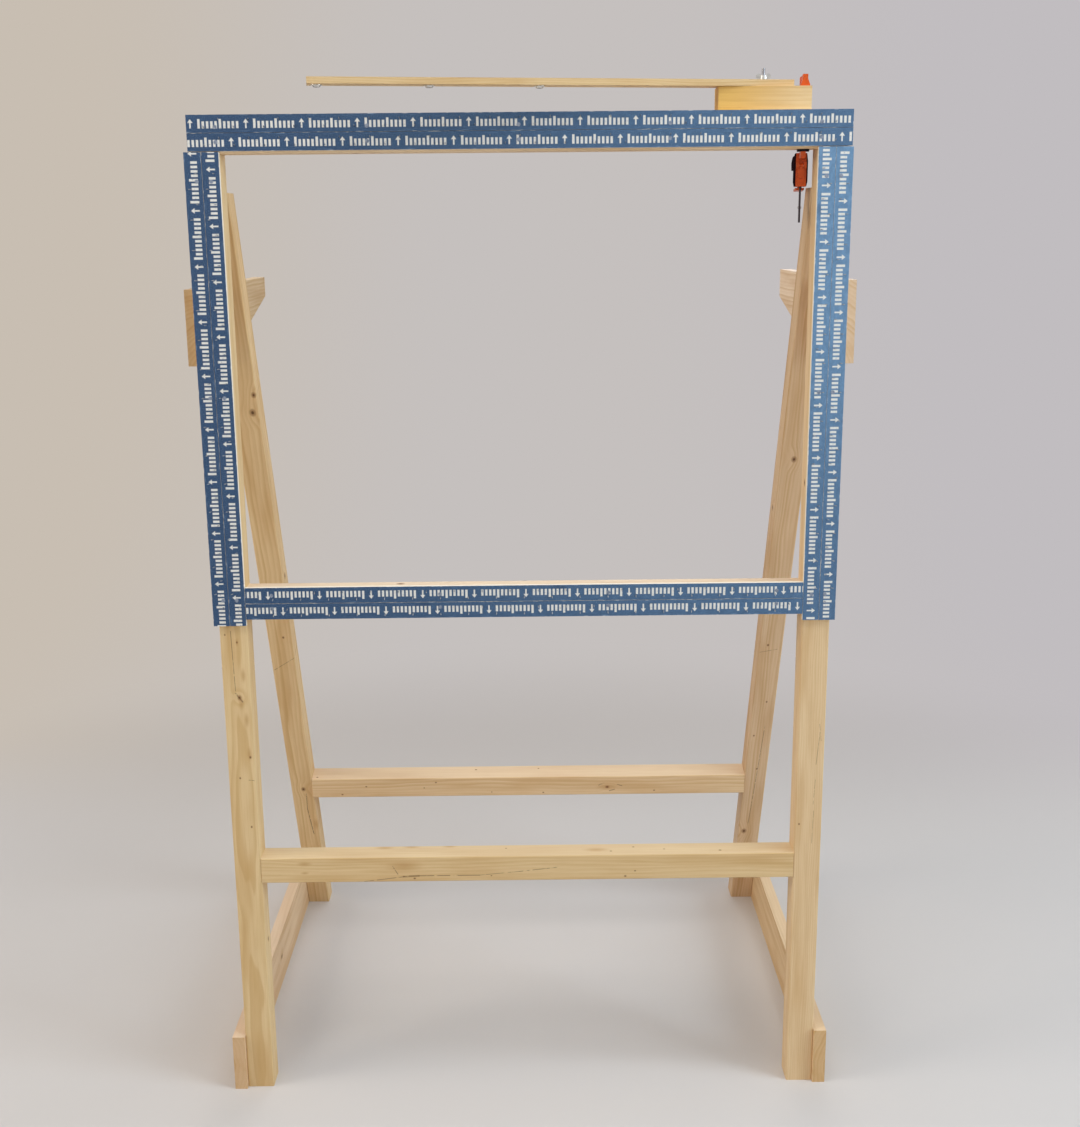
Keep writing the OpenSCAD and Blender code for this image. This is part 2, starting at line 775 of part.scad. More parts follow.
module clamp_top_jaw() {
  foot_half = jaw_foot_w / 2;
  web_half = jaw_web / 2;
  head_front = bar_front - jaw_head_wall;
  head_back = bar_back + jaw_head_wall;
  color(ORANGE) on_clamp() difference() {
    union() {
      front_extrude(jaw_front, jaw_front + jaw_foot_len)
        polygon([
          [-foot_half, block_top], [foot_half, block_top], [foot_half, block_top + foot_rim],
          [web_half, block_top + foot_rim + foot_flare], [web_half, jaw_top],
          [-web_half, jaw_top], [-web_half, block_top + foot_rim + foot_flare],
          [-foot_half, block_top + foot_rim]
        ]);
      translate([-web_half, jaw_front + jaw_foot_len, block_top])
        cube([jaw_web, head_front - jaw_front - jaw_foot_len, jaw_h]);
      translate([-head_half, head_front, jaw_top - jaw_head_h])
        cube([2 * head_half, head_back - head_front, jaw_head_h]);
    }
    bar_cut(fixed_gap, jaw_top - jaw_head_h - cut, jaw_top - jaw_cap);
  }
}

module body_outline() {
  translate([body_y0, body_base]) square([body_y1 - body_y0, body_h]);
  translate([body_y1, handle_base]) square([handle_len - handle_round, handle_h]);
  translate([handle_end - handle_round, handle_base + handle_round]) circle(r = handle_round);
}

module clamp_body() {
  ear_top = release_z + ear_h / 2;
  color(ORANGE) on_clamp() difference() {
    union() {
      side_extrude(core_w) body_outline();
      translate([-neck_w / 2, jaw_front, neck_base])
        cube([neck_w, body_y0 - jaw_front, neck_h]);
      translate([-neck_w / 2, body_y0, body_top])
        cube([neck_w, body_front - slip - cavity_wall, body_drop]);
      translate([-core_w / 2, body_y0 - ear_len, ear_top - ear_h])
        cube([core_w, ear_len, ear_h]);
    }
    bar_cut(slip, body_base - cut, neck_top + cut);
    side_extrude(core_w + 2 * cut)
      translate([body_y0 + cavity_wall, cavity_low])
        square([body_y1 - body_y0 - 2 * cavity_wall, cavity_high - cavity_low]);
    translate([-slot_w / 2, trigger_pin_y - trigger_eye_r - slip, body_base - cut])
      cube([slot_w, body_rear, trigger_pin_z + trigger_eye_r + slip - body_base + cut]);
    translate([-slot_w / 2, body_y0 - ear_len - cut, ear_top - ear_h - cut])
      cube([slot_w, ear_len + cut, ear_h + 2 * cut]);
    trigger_pin(fixed_gap, cut);
    release_pin(fixed_gap, cut);
  }
}

module grip(side) {
  inner = core_w / 2;
  outer = inner + grip_t;
  color(BLACK) on_clamp() mirror([side == LEFT ? 1 : 0, 0, 0]) intersection() {
    translate([inner + grip_t / 2, 0, 0]) side_extrude(grip_t) body_outline();
    front_extrude(body_y0 - cut, handle_end + cut)
      polygon([
        [inner, body_base], [inner + grip_rim, body_base], [outer, body_base + grip_taper_base],
        [outer, body_top - grip_taper_top], [inner + grip_rim, body_top], [inner, body_top]
      ]);
  }
}

module clamp_lower_pad() {
  color(BLACK) on_clamp()
    translate([-lower_pad_w / 2, jaw_front, neck_top]) cube([lower_pad_w, jaw_foot_len, lower_pad_t]);
}

module trigger_pin(grow, past) {
  translate([0, trigger_pin_y, trigger_pin_z])
    rotate([0, 90, 0]) cylinder(r = trigger_pin_d / 2 + grow, h = core_w + 2 * past, center = true);
}

module release_pin(grow, past) {
  translate([0, release_y, release_z])
    rotate([0, 90, 0]) cylinder(r = release_pin_d / 2 + grow, h = core_w + 2 * past, center = true);
}

module clamp_trigger() {
  trigger_end = trigger_front + trigger_len;
  trigger_bend = body_y1 + trigger_flat;
  color(ORANGE) on_clamp() difference() {
    union() {
      side_extrude(trigger_w)
        polygon([
          [trigger_front, trigger_high], [trigger_front, trigger_high - trigger_t],
          [trigger_bend, trigger_high - trigger_t],
          [trigger_end, trigger_high - trigger_t - trigger_fall],
          [trigger_end, trigger_high - trigger_fall], [trigger_bend, trigger_high]
        ]);
      side_extrude(tongue_w) {
        translate([trigger_pin_y, trigger_pin_z]) circle(r = trigger_eye_r);
        translate([trigger_pin_y - trigger_eye_r, trigger_high - trigger_t / 2])
          square([2 * trigger_eye_r, trigger_pin_z - trigger_high + trigger_t / 2]);
      }
    }
    trigger_pin(running_gap, cut);
  }
}

module clamp_release_lever() {
  lever_high = release_z - ear_h / 2 - slip;
  lever_back = body_y0 - slip;
  color(ORANGE) on_clamp() difference() {
    union() {
      side_extrude(tongue_w) {
        translate([release_y, release_z]) circle(r = release_eye_r);
        translate([lever_back - release_t, lever_high - release_t])
          square([release_t, release_z - lever_high + release_t]);
      }
      translate([-release_w / 2, lever_back - release_t, release_z - release_len])
        cube([release_w, release_t, lever_high - release_z + release_len]);
    }
    release_pin(running_gap, cut);
  }
}

module clamp_plate(z) {
  depth = body_y1 - body_y0 - 2 * cavity_wall - 2 * plate_rim;
  color(DARK_STEEL) on_clamp() difference() {
    translate([-core_w / 2 + plate_rim, body_y0 + cavity_wall + plate_rim, z])
      cube([core_w - 2 * plate_rim, depth, plate_t]);
    bar_cut(slip, z - cut, z + plate_t + cut);
  }
}

module clamp_spring() {
  low = drive_plate_z + plate_t;
  color(STEEL) on_clamp() translate([0, spring_y, low]) difference() {
    cylinder(d = spring_d, h = brake_plate_z - low);
    translate([0, 0, -cut]) cylinder(d = spring_bore, h = brake_plate_z - low + 2 * cut);
  }
}

upright(LEFT);  // upright_left
upright(RIGHT);  // upright_right
top_bar();
lower_bar();
front_rail();
rear_leg(LEFT);  // rear_leg_left
rear_leg(RIGHT);  // rear_leg_right
rear_rail();
base_board(LEFT);  // base_board_left
base_board(RIGHT);  // base_board_right
side_bracket(LEFT);  // side_bracket_left
side_bracket(RIGHT);  // side_bracket_right
top_strip(1);  // strip_top_upper
top_strip(0);  // strip_top_lower
lower_strip(0);  // strip_lower_upper
lower_strip(1);  // strip_lower_lower
side_strip(LEFT, 1);  // strip_left_outer
side_strip(LEFT, 0);  // strip_left_inner
side_strip(RIGHT, 0);  // strip_right_inner
side_strip(RIGHT, 1);  // strip_right_outer
top_pins();  // tack_pins_top
lower_pins();  // tack_pins_lower
side_pins(LEFT);  // tack_pins_left
side_pins(RIGHT);  // tack_pins_right
strip_nails();
color(DARK_STEEL) in_frame() top_bar_screws();  // screws_top_bar
color(DARK_STEEL) in_frame() lower_bar_screws();  // screws_lower_bar
color(DARK_STEEL) in_frame() front_rail_screws();  // screws_front_rail
color(DARK_STEEL) in_frame() rear_rail_screws();  // screws_rear_rail
color(DARK_STEEL) in_frame() base_board_screws();  // screws_base_boards
color(DARK_STEEL) in_frame() bracket_screws();  // screws_brackets
arm_block();
yarn_arm();
yarn_eyelet(0);  // yarn_eyelet_end
yarn_eyelet(1);  // yarn_eyelet_middle
yarn_eyelet(2);  // yarn_eyelet_inner
pivot_bolt();
arm_washer();
wing_nut();
clamp_bar();
clamp_top_jaw();
clamp_stop_pin();
clamp_body();
grip(LEFT);  // clamp_grip_left
grip(RIGHT);  // clamp_grip_right
clamp_lower_pad();
clamp_trigger();
color(STEEL) on_clamp() trigger_pin(0, 0);  // clamp_trigger_pin
clamp_release_lever();
color(STEEL) on_clamp() release_pin(0, 0);  // clamp_release_pin
clamp_plate(drive_plate_z);  // clamp_drive_plate
clamp_plate(brake_plate_z);  // clamp_brake_plate
clamp_spring();
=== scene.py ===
# Looks of the tufting frame: bare pine timber, printed blue tack strips, a small orange clamp and
# bright metal, on a plain pale sheet. Sizes are in metres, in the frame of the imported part. The
# materials work in millimetres, along and across each piece.
import math

import bpy
from mathutils import Euler, Matrix, Vector


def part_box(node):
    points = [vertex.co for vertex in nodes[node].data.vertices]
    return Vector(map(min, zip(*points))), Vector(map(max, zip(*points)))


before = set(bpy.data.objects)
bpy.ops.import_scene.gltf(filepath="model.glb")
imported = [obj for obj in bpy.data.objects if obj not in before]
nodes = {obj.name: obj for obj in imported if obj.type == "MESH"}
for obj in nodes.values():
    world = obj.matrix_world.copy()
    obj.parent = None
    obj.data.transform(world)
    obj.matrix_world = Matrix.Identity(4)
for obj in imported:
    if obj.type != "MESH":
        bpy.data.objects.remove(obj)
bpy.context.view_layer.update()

MM = 0.001
upright_low, upright_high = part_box("upright_right")
leg_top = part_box("rear_leg_left")[1].z
FRONT_Y = upright_low.y                    # the timber's front face
LUMBER = upright_high.x - upright_low.x    # side of the square timber
HALF_W = upright_high.x                    # half of the frame's width
LEAN = math.radians(23.3)                  # rear legs, from upright
RAIL_TILT = math.radians(11)               # rear rail's front face, from upright
ARM_SWING = math.radians(8.5)              # yarn arm at rest, from the top bar


# Camera, as the photograph was taken: angles in radians, sensor and lens in mm
EYE_RIGHT = 0.0132                         # right of the frame's middle
EYE_IN_FRONT = 1.8680                      # in front of the timber's front face
EYE_HEIGHT = 1.2401
YAW = -0.00463                             # positive to the left
PITCH = 0.23383                            # positive downwards
ROLL = -0.00938                            # positive lifts the camera's right side
SENSOR = 36.0
LENS = 45.137
FARTHEST_SEEN = 50.0


def make_camera():
    ahead = math.cos(PITCH)
    forward = Vector((-math.sin(YAW) * ahead, math.cos(YAW) * ahead, -math.sin(PITCH)))
    level = Vector((math.cos(YAW), math.sin(YAW), 0.0))
    upward = level.cross(forward)
    right = math.cos(ROLL) * level + math.sin(ROLL) * upward
    up = -math.sin(ROLL) * level + math.cos(ROLL) * upward
    eye = Vector((EYE_RIGHT, FRONT_Y - EYE_IN_FRONT, EYE_HEIGHT))
    data = bpy.data.cameras.new("camera")
    data.sensor_width = SENSOR
    data.lens = LENS
    data.clip_end = FARTHEST_SEEN
    camera = bpy.data.objects.new("camera", data)
    bpy.context.scene.collection.objects.link(camera)
    facing = Matrix((right, up, -forward)).transposed().to_4x4()
    camera.matrix_world = Matrix.Translation(eye) @ facing
    bpy.context.scene.camera = camera


# The colour sockets of a Mix node, whose names aren't unique
MIX_A = 6
MIX_B = 7
MIX_RESULT = 2


class Shader:
    """A new material whose nodes are added by short calls, most of which return the node's output."""

    def __init__(self, name):
        self.material = bpy.data.materials.new(name)
        self.material.use_nodes = True
        self.tree = self.material.node_tree
        self.surface = self.tree.nodes["Principled BSDF"]
        self.local = self.u = self.v = self.w = None

    def node(self, kind, **settings):
        made = self.tree.nodes.new(kind)
        for key, value in settings.items():
            setattr(made, key, value)
        return made

    def put(self, socket, value):
        if isinstance(value, bpy.types.NodeSocket):
            self.tree.links.new(value, socket)
        else:
            socket.default_value = value

    def math(self, operation, a, b=0.0, clamp=False):
        made = self.node("ShaderNodeMath", operation=operation, use_clamp=clamp)
        self.put(made.inputs[0], a)
        self.put(made.inputs[1], b)
        return made.outputs[0]

    def add(self, a, b):
        return self.math("ADD", a, b)

    def minus(self, a, b):
        return self.math("SUBTRACT", a, b)

    def times(self, a, b):
        return self.math("MULTIPLY", a, b)

    def over(self, a, b):
        return self.math("DIVIDE", a, b)

    def most(self, a, b):
        return self.math("MAXIMUM", a, b)

    def size_of(self, a):
        return self.math("ABSOLUTE", a)

    def reach(self, a, b):
        """The length of the vector (a, b)."""
        return self.math("SQRT", self.add(self.times(a, a), self.times(b, b)))

    def stretch(self, vector, scale, shift=(0.0, 0.0, 0.0)):
        made = self.node("ShaderNodeVectorMath", operation="MULTIPLY_ADD")
        self.put(made.inputs[0], vector)
        self.put(made.inputs[1], scale)
        self.put(made.inputs[2], shift)
        return made.outputs[0]

    def dot(self, a, b):
        made = self.node("ShaderNodeVectorMath", operation="DOT_PRODUCT")
        self.put(made.inputs[0], a)
        self.put(made.inputs[1], b)
        return made.outputs["Value"]

    def position(self, place=(0.0, 0.0, 0.0), turn=(0.0, 0.0, 0.0)):
        """The point on the piece in mm, measured from place along the axes that turn gives."""
        mapping = self.node("ShaderNodeMapping", vector_type="TEXTURE")
        self.put(mapping.inputs["Vector"], self.node("ShaderNodeTexCoord").outputs["Object"])
        mapping.inputs["Location"].default_value = place
        mapping.inputs["Rotation"].default_value = turn
        mapping.inputs["Scale"].default_value = (MM, MM, MM)
        return mapping.outputs[0]

    def lay(self, place, turn):
        """Sets the piece's own coordinates: local, and its parts u, v and w."""
        self.local = self.position(place, turn)
        self.u, self.v, self.w = self.split(self.local)

    def normal(self):
        return self.node("ShaderNodeTexCoord").outputs["Normal"]

    def split(self, vector):
        made = self.node("ShaderNodeSeparateXYZ")
        self.put(made.inputs[0], vector)
        return made.outputs[0], made.outputs[1], made.outputs[2]

    def join(self, x, y, z):
        made = self.node("ShaderNodeCombineXYZ")
        for socket, value in zip(made.inputs, (x, y, z)):
            self.put(socket, value)
        return made.outputs[0]

    def noise(self, vector, scale=1.0, detail=2.0, roughness=0.5):
        made = self.node("ShaderNodeTexNoise")
        self.put(made.inputs["Vector"], vector)
        made.inputs["Scale"].default_value = scale
        made.inputs["Detail"].default_value = detail
        made.inputs["Roughness"].default_value = roughness
        return made.outputs[0]

    def texture(self, fineness, shift=(0.0, 0.0, 0.0), detail=2.0, roughness=0.5):
        """Noise in the piece's own coordinates, with its fineness per mm along u, v and w."""
        return self.noise(self.stretch(self.local, fineness, shift), 1.0, detail, roughness)

    def span(self, value, low, high, to_low=0.0, to_high=1.0):
        """to_low below low, to_high above high, and a smooth change between them."""
        made = self.node("ShaderNodeMapRange", interpolation_type="SMOOTHSTEP")
        made.clamp = True
        numbers = (("From Min", low), ("From Max", high), ("To Min", to_low), ("To Max", to_high))
        for key, number in numbers:
            made.inputs[key].default_value = number
        self.put(made.inputs["Value"], value)
        return made.outputs[0]

    def rise(self, value, low, high, full=1.0):
        """0 below low and full above high."""
        return self.span(value, low, high, 0.0, full)

    def fall(self, value, low, high, full=1.0):
        """full below low and 0 above high."""
        return self.span(value, low, high, full, 0.0)

    def below(self, value, limit, soft=0.2):
        """1 where value is under limit and 0 over it, with an edge of soft to either side."""
        return self.fall(value, limit - soft, limit + soft)

    def mix(self, factor, a, b, blend="MIX"):
        made = self.node("ShaderNodeMix", data_type="RGBA", blend_type=blend)
        self.put(made.inputs[0], factor)
        for socket, value in ((made.inputs[MIX_A], a), (made.inputs[MIX_B], b)):
            self.put(socket, (*value, 1.0) if isinstance(value, tuple) else value)
        return made.outputs[MIX_RESULT]

    def bump(self, height, strength, distance):
        made = self.node("ShaderNodeBump")
        made.inputs["Strength"].default_value = strength
        made.inputs["Distance"].default_value = distance
        self.put(made.inputs["Height"], height)
        self.put(self.surface.inputs["Normal"], made.outputs[0])

    def finish(self, colour, roughness, metallic=0.0, specular=0.5):
        self.put(self.surface.inputs["Base Color"], colour)
        self.put(self.surface.inputs["Roughness"], roughness)
        self.surface.inputs["Metallic"].default_value = metallic
        self.surface.inputs["Specular IOR Level"].default_value = specular
        return self.material


def srgb(r, g, b):
    """An 8-bit display colour as the linear colour that the shader wants."""
    def linear(v):
        v = v / 255
        return v / 12.92 if v <= 0.04045 else ((v + 0.055) / 1.055) ** 2.4
    return (linear(r), linear(g), linear(b))


def darker(colour, share):
    return tuple(c * share for c in colour)


def wear(name, material):
    """Puts one material in every material slot of a CAD node."""
    for place in nodes[name].material_slots:
        place.material = material


def turned(along, across):
    """The rotation of a piece whose own u runs along and v across, with w = u x v."""
    u = Vector(along).normalized()
    v = Vector(across).normalized()
    return tuple(Matrix((u, v, u.cross(v))).transposed().to_euler())


POST = turned((0, 0, 1), (1, 0, 0))        # u up, v right, w to the back
BAR = turned((1, 0, 0), (0, 0, 1))         # u right, v up, w to the front
BOARD = turned((0, 1, 0), (0, 0, 1))       # u to the back, v up, w right
LEG = turned((0, math.sin(LEAN), -math.cos(LEAN)), (1, 0, 0))             # u down, w out of its front
RAIL = turned((1, 0, 0), (0, -math.sin(RAIL_TILT), math.cos(RAIL_TILT)))  # u right, v up its front
ARM = turned(                              # u along the arm, v to the back, w up
    (math.cos(ARM_SWING), math.sin(ARM_SWING), 0), (-math.sin(ARM_SWING), math.cos(ARM_SWING), 0))


# Timber. A piece's own coordinates run along it (u) and across it (v, w) from its start.
# pith is where the tree's middle lies in v, w, and pitch is one year's growth. A knot or a stain is
# (u, across, radius, axis it runs along). A stroke is a thin dark line (u0, v0, u1, v1, width), such
# as a crack or a scratch. seed moves the noise, so that no two pieces look alike.
PALE = srgb(229, 201, 160)
LATE = srgb(204, 166, 114)
WARM = srgb(198, 156, 102)
# The pale of faces that look up, a painted top light
TOP_LIGHT_PALE = srgb(232, 214, 190)
KNOT_EDGE = srgb(146, 98, 54)
KNOT_CORE = srgb(84, 52, 30)
STAIN = srgb(184, 136, 82)
INK = srgb(106, 72, 42)

# Fineness of the noises, per mm along u, v and w
RING_WAVES = (1 / 260, 1 / 40, 1 / 40)
PATCHES = (1 / 190, 1 / 26, 1 / 26)
FIBRES = (1 / 70, 0.8, 0.8)
PORES = (1 / 11, 1.6, 1.6)
STROKE_GAPS = (1 / 7, 0.3, 0.3)
YEARS = 0.9                                # noise from ring to ring

# Growth rings
GRAIN_WAVE = 15.0                          # how far the rings wander along a piece, in mm
LATE_START = (0.15, 0.85)                  # the dark late wood of a ring, as shares of the ring
LATE_END = (0.88, 1.0)
YEAR_STRENGTH = (0.3, 0.7, 0.25, 1.0)      # from years with pale late wood to years with dark

# Where a colour begins, where it is at its full, and its share of the wood's colour there
PATCH_WARM = (0.38, 0.75, 0.55)
FIBRE_WARM = (0.42, 0.80, 0.34)
PORE_DARK = (0.64, 0.80, 0.14)
END_WARM = (0.75, 0.95, 0.45)              # faces across the grain
TOP_LIGHT_FACES = (0.5, 0.9, 0.40)               # painted top light: faces that look up are paler

# Knots, stains and strokes
KNOT_LONG = 1.35                           # length to width of a knot, and of a stain
STAIN_LONG = 2.8
SMALLEST_RING_KNOT = 2.0                   # smaller knots don't push the grain aside
KNOT_PUSH = (0.6, 6.0, 1.4)                # in radii: where it is full, where it ends, and its size
KNOT_MIDDLE = (0.30, 0.70)                 # radii between which the dark middle fades, and the rim
KNOT_RIM = (0.75, 1.45)
MIDDLE_SHARE = 0.85
RIM_SHARE = 0.62
STAIN_SHARE = 0.55
STROKE_SHARE = 0.62
STROKE_CORE = 0.4                          # share of a stroke's width that is fully dark
GAPS_END = (0.34, 0.46)                    # noise between a stroke's gaps and its dark parts

# Surface of bare wood
RING_RELIEF = 0.4
FIBRE_RELIEF = 0.8
WOOD_BUMP = (0.22, 0.25 * MM)              # strength and height
WOOD_ROUGHNESS = (0.3, 0.8, 0.52, 0.70)    # from gaps between fibres to fibres
WOOD_SPECULAR = 0.30


def spot_reach(s, spot, drawn_out):
    """Distance from a spot's middle, with the spot drawn out along the piece."""
    along, across, _, axis = spot
    side = s.v if axis == "w" else s.w
    du = s.over(s.minus(s.u, along), drawn_out)
    return s.reach(du, s.minus(side, across))


def stroke(s, line):
    """1 on the line, 0 beside it."""
    u0, v0, u1, v1, width = line
    du, dv = u1 - u0, v1 - v0
    pu, pv = s.minus(s.u, u0), s.minus(s.v, v0)
    along = s.add(s.times(pu, du), s.times(pv, dv))
    t = s.math("DIVIDE", along, du * du + dv * dv, clamp=True)
    off = s.reach(s.minus(pu, s.times(t, du)), s.minus(pv, s.times(t, dv)))
    return s.fall(off, width * STROKE_CORE, width)


def late_wood(s, pith, pitch, knots, seed):
    """1 on the dark part of each growth ring. The rings wave and bend round the larger knots."""
    waves = s.texture(RING_WAVES, (seed, seed * 1.7, seed * 0.6))
    distance = s.reach(s.minus(s.v, pith[0]), s.minus(s.w, pith[1]))
    distance = s.add(distance, s.times(s.minus(waves, 0.5), GRAIN_WAVE))
    inside, outside, push = KNOT_PUSH
    for radius, away in knots:
        if radius > SMALLEST_RING_KNOT:
            pushed = s.fall(away, radius * inside, radius * outside, radius * push)
            distance = s.add(distance, pushed)
    phase = s.over(distance, pitch)
    ring = s.math("FRACT", phase)
    late = s.times(s.rise(ring, *LATE_START), s.fall(ring, *LATE_END))
    year = s.noise(s.join(s.math("FLOOR", phase), seed, 0.0), YEARS, detail=0.0)
    return s.times(late, s.span(year, *YEAR_STRENGTH))


def knot_shade(s, knots, fade):
    """1 in the knots, 0 beyond the radii between which they fade."""
    shade = 0.0
    for radius, away in knots:
        shade = s.most(shade, s.fall(away, radius * fade[0], radius * fade[1]))
    return shade


def wood_colour(s, late, fibre, seed):
    """Rings, with broad patches and fibres of warmer wood and dark pores."""
    patch = s.texture(PATCHES, (seed, 3.0, 1.0))
    pore = s.texture(PORES, detail=1.0)
    colour = s.mix(late, PALE, LATE)
    colour = s.mix(s.rise(patch, *PATCH_WARM), colour, WARM)
    colour = s.mix(s.rise(fibre, *FIBRE_WARM), colour, WARM)
    return s.mix(s.rise(pore, *PORE_DARK), colour, KNOT_EDGE)


def shade_faces(s, colour, turn):
    """End grain is darker, and faces that look up are paler with a painted top light."""
    grain_way = tuple(Euler(turn).to_matrix() @ Vector((1, 0, 0)))
    end = s.size_of(s.dot(s.normal(), grain_way))
    colour = s.mix(s.rise(end, *END_WARM), colour, WARM)
    return s.mix(s.rise(s.dot(s.normal(), (0, 0, 1)), *TOP_LIGHT_FACES), colour, TOP_LIGHT_PALE)


def draw_marks(s, colour, knots, stains, strokes):
    for stain in stains:
        away = spot_reach(s, stain, STAIN_LONG)
        colour = s.mix(s.fall(away, 0.0, stain[2], STAIN_SHARE), colour, STAIN)
    if knots:
        colour = s.mix(s.times(knot_shade(s, knots, KNOT_RIM), RIM_SHARE), colour, KNOT_EDGE)
        colour = s.mix(s.times(knot_shade(s, knots, KNOT_MIDDLE), MIDDLE_SHARE), colour, KNOT_CORE)
    if strokes:
        gaps = s.rise(s.texture(STROKE_GAPS), *GAPS_END)
    for line in strokes:
        colour = s.mix(s.times(s.times(stroke(s, line), gaps), STROKE_SHARE), colour, INK)
    return colour


def timber(name, place, turn, pith, pitch=4.0, tone=(1.0, 1.0, 1.0), knots=(), stains=(), strokes=(),
           seed=0.0, contrast=0.55, far_end=None):
    """Pine with growth rings about the pith and listed marks. tone shades the whole piece,
    and far_end, if given, is the tone of its other end and the piece's length."""
    s = Shader(name)
    s.lay(place, turn)
    knots = [(knot[2], spot_reach(s, knot, KNOT_LONG)) for knot in knots]
    late = late_wood(s, pith, pitch, knots, seed)
    fibre = s.texture(FIBRES, detail=3.0, roughness=0.6)
    colour = wood_colour(s, s.times(late, contrast), fibre, seed)
    colour = shade_faces(s, colour, turn)
    colour = draw_marks(s, colour, knots, stains, strokes)
    if far_end:
        far_tone, length = far_end
        tone = s.mix(s.rise(s.u, 0.0, length), tone, far_tone)
    colour = s.mix(1.0, colour, tone, blend="MULTIPLY")
    s.bump(s.add(s.times(late, RING_RELIEF), s.times(fibre, FIBRE_RELIEF)), *WOOD_BUMP)
    return s.finish(colour, s.span(fibre, *WOOD_ROUGHNESS), specular=WOOD_SPECULAR)


def dress_uprights():
    knots = [
        (608, 22, 2.6, "w"), (688, 23, 1.2, "w"), (699, 7, 1.0, "w"), (520, 32, 1.6, "w"),
        (489, 16, 1.2, "w"), (415, 28, 1.3, "w"), (1120, 14, 4.0, "w"), (230, 20, 3.0, "v"),
    ]
    stains = [
        (600, 24, 5, "w"), (640, 29, 5, "w"), (575, 30, 5, "w"), (688, 23, 3, "w"), (525, 31, 5, "w"),
    ]
    strokes = [(614, 17, 602, 26, 1.5), (618, 17, 704, 15, 0.7), (486, 28, 485, 36, 0.6)]
    wear("upright_left", timber(
        "pine_upright_left", (-HALF_W, FRONT_Y, 0), POST, pith=(24, 50), pitch=3.2, seed=1.3,
        contrast=0.65, tone=(0.99, 1.0, 0.92), knots=knots, stains=stains, strokes=strokes))
    knots = [(410, 6, 1.2, "w"), (900, 15, 3.5, "v")]
    strokes = [
        (548, 31, 500, 27, 0.5), (480, 27, 440, 25, 0.4), (430, 26, 380, 25, 0.4),
        (560, 30, 535, 33, 0.4),
    ]
    wear("upright_right", timber(
        "pine_upright_right", (HALF_W - LUMBER, FRONT_Y, 0), POST, pith=(-70, 60), pitch=2.7, seed=4.1,
        tone=(1.02, 1.02, 1.02), contrast=0.35, knots=knots, strokes=strokes))


def bar_start(name):
    """The rear lower left corner, where a bar's own coordinates start."""
    low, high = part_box(name)
    return (low.x, high.y, low.z)


def dress_bars():
    knots = [(210, 12, 4.0, "v"), (560, 26, 2.5, "v"), (430, 20, 4.5, "w")]
    for name, seed in (("top_bar", 7.7), ("lower_bar", 9.2)):
        wear(name, timber(
            "pine_" + name, bar_start(name), BAR, pith=(60, 62), pitch=3.8, seed=seed,
            tone=(1.06, 1.10, 1.22), knots=knots))
    knots = [
        (219, 5, 1.3, "w"), (521, 5, 1.3, "w"), (535, 13, 1.0, "w"), (329, 8, 0.9, "w"),
        (501, 25, 1.3, "v"), (534, 12, 1.3, "v"), (350, 12, 1.1, "v"), (578, 20, 1.1, "v"),
        (658, 26, 1.6, "v"),
    ]
    stains = [
        (62, 29, 5, "w"), (62, 15, 3, "w"), (205, 24, 12, "w"), (174, 6, 7, "v"), (213, 4, 6, "v"),
        (268, 4, 5, "v"), (480, 20, 9, "v"),
    ]
    strokes = [
        (130, -1, 205, 8, 0.8), (203, 8, 225, 9, 1.8), (225, 9, 312, 9, 1.0), (312, 9, 369, 14, 0.6),
        (369, 14, 425, 20, 0.8), (188, 24, 195, 12, 0.9),
    ]
    wear("front_rail", timber(
        "pine_front_rail", bar_start("front_rail"), BAR, pith=(-30, 96), pitch=3.8, seed=2.6,
        contrast=0.45, tone=(0.96, 0.95, 0.86), knots=knots, stains=stains, strokes=strokes))


REAR_RAIL_TOP = 0.2984                     # height of the rear rail's upper front edge
REAR_RAIL_BACK = LUMBER + (leg_top - REAR_RAIL_TOP) * math.tan(LEAN)    # from the front face to it


def dress_rear_rail():
    knots = [
        (52, -32, 1.4, "w"), (95, -16, 1.3, "w"), (197, -20, 1.0, "w"), (218, -9, 1.3, "w"),
        (316, -30, 0.9, "w"), (407, -32, 1.2, "w"), (520, -22, 2.6, "w"), (603, -30, 1.3, "w"),
        (9, -7, 1.4, "v"), (288, -26, 1.5, "v"), (399, -28, 1.2, "v"),
    ]
    strokes = [(505, -18, 514, -14, 1.2), (524, -30, 533, -27, 1.2), (538, -17, 546, -20, 1.0)]
    start = (-HALF_W + LUMBER, FRONT_Y + REAR_RAIL_BACK, REAR_RAIL_TOP)
    wear("rear_rail", timber(
        "pine_rear_rail", start, RAIL, pith=(32, -75), pitch=3.6, seed=8.4, tone=(1.0, 0.98, 0.98),
        knots=knots, stains=[(520, -22, 9, "w")], strokes=strokes))


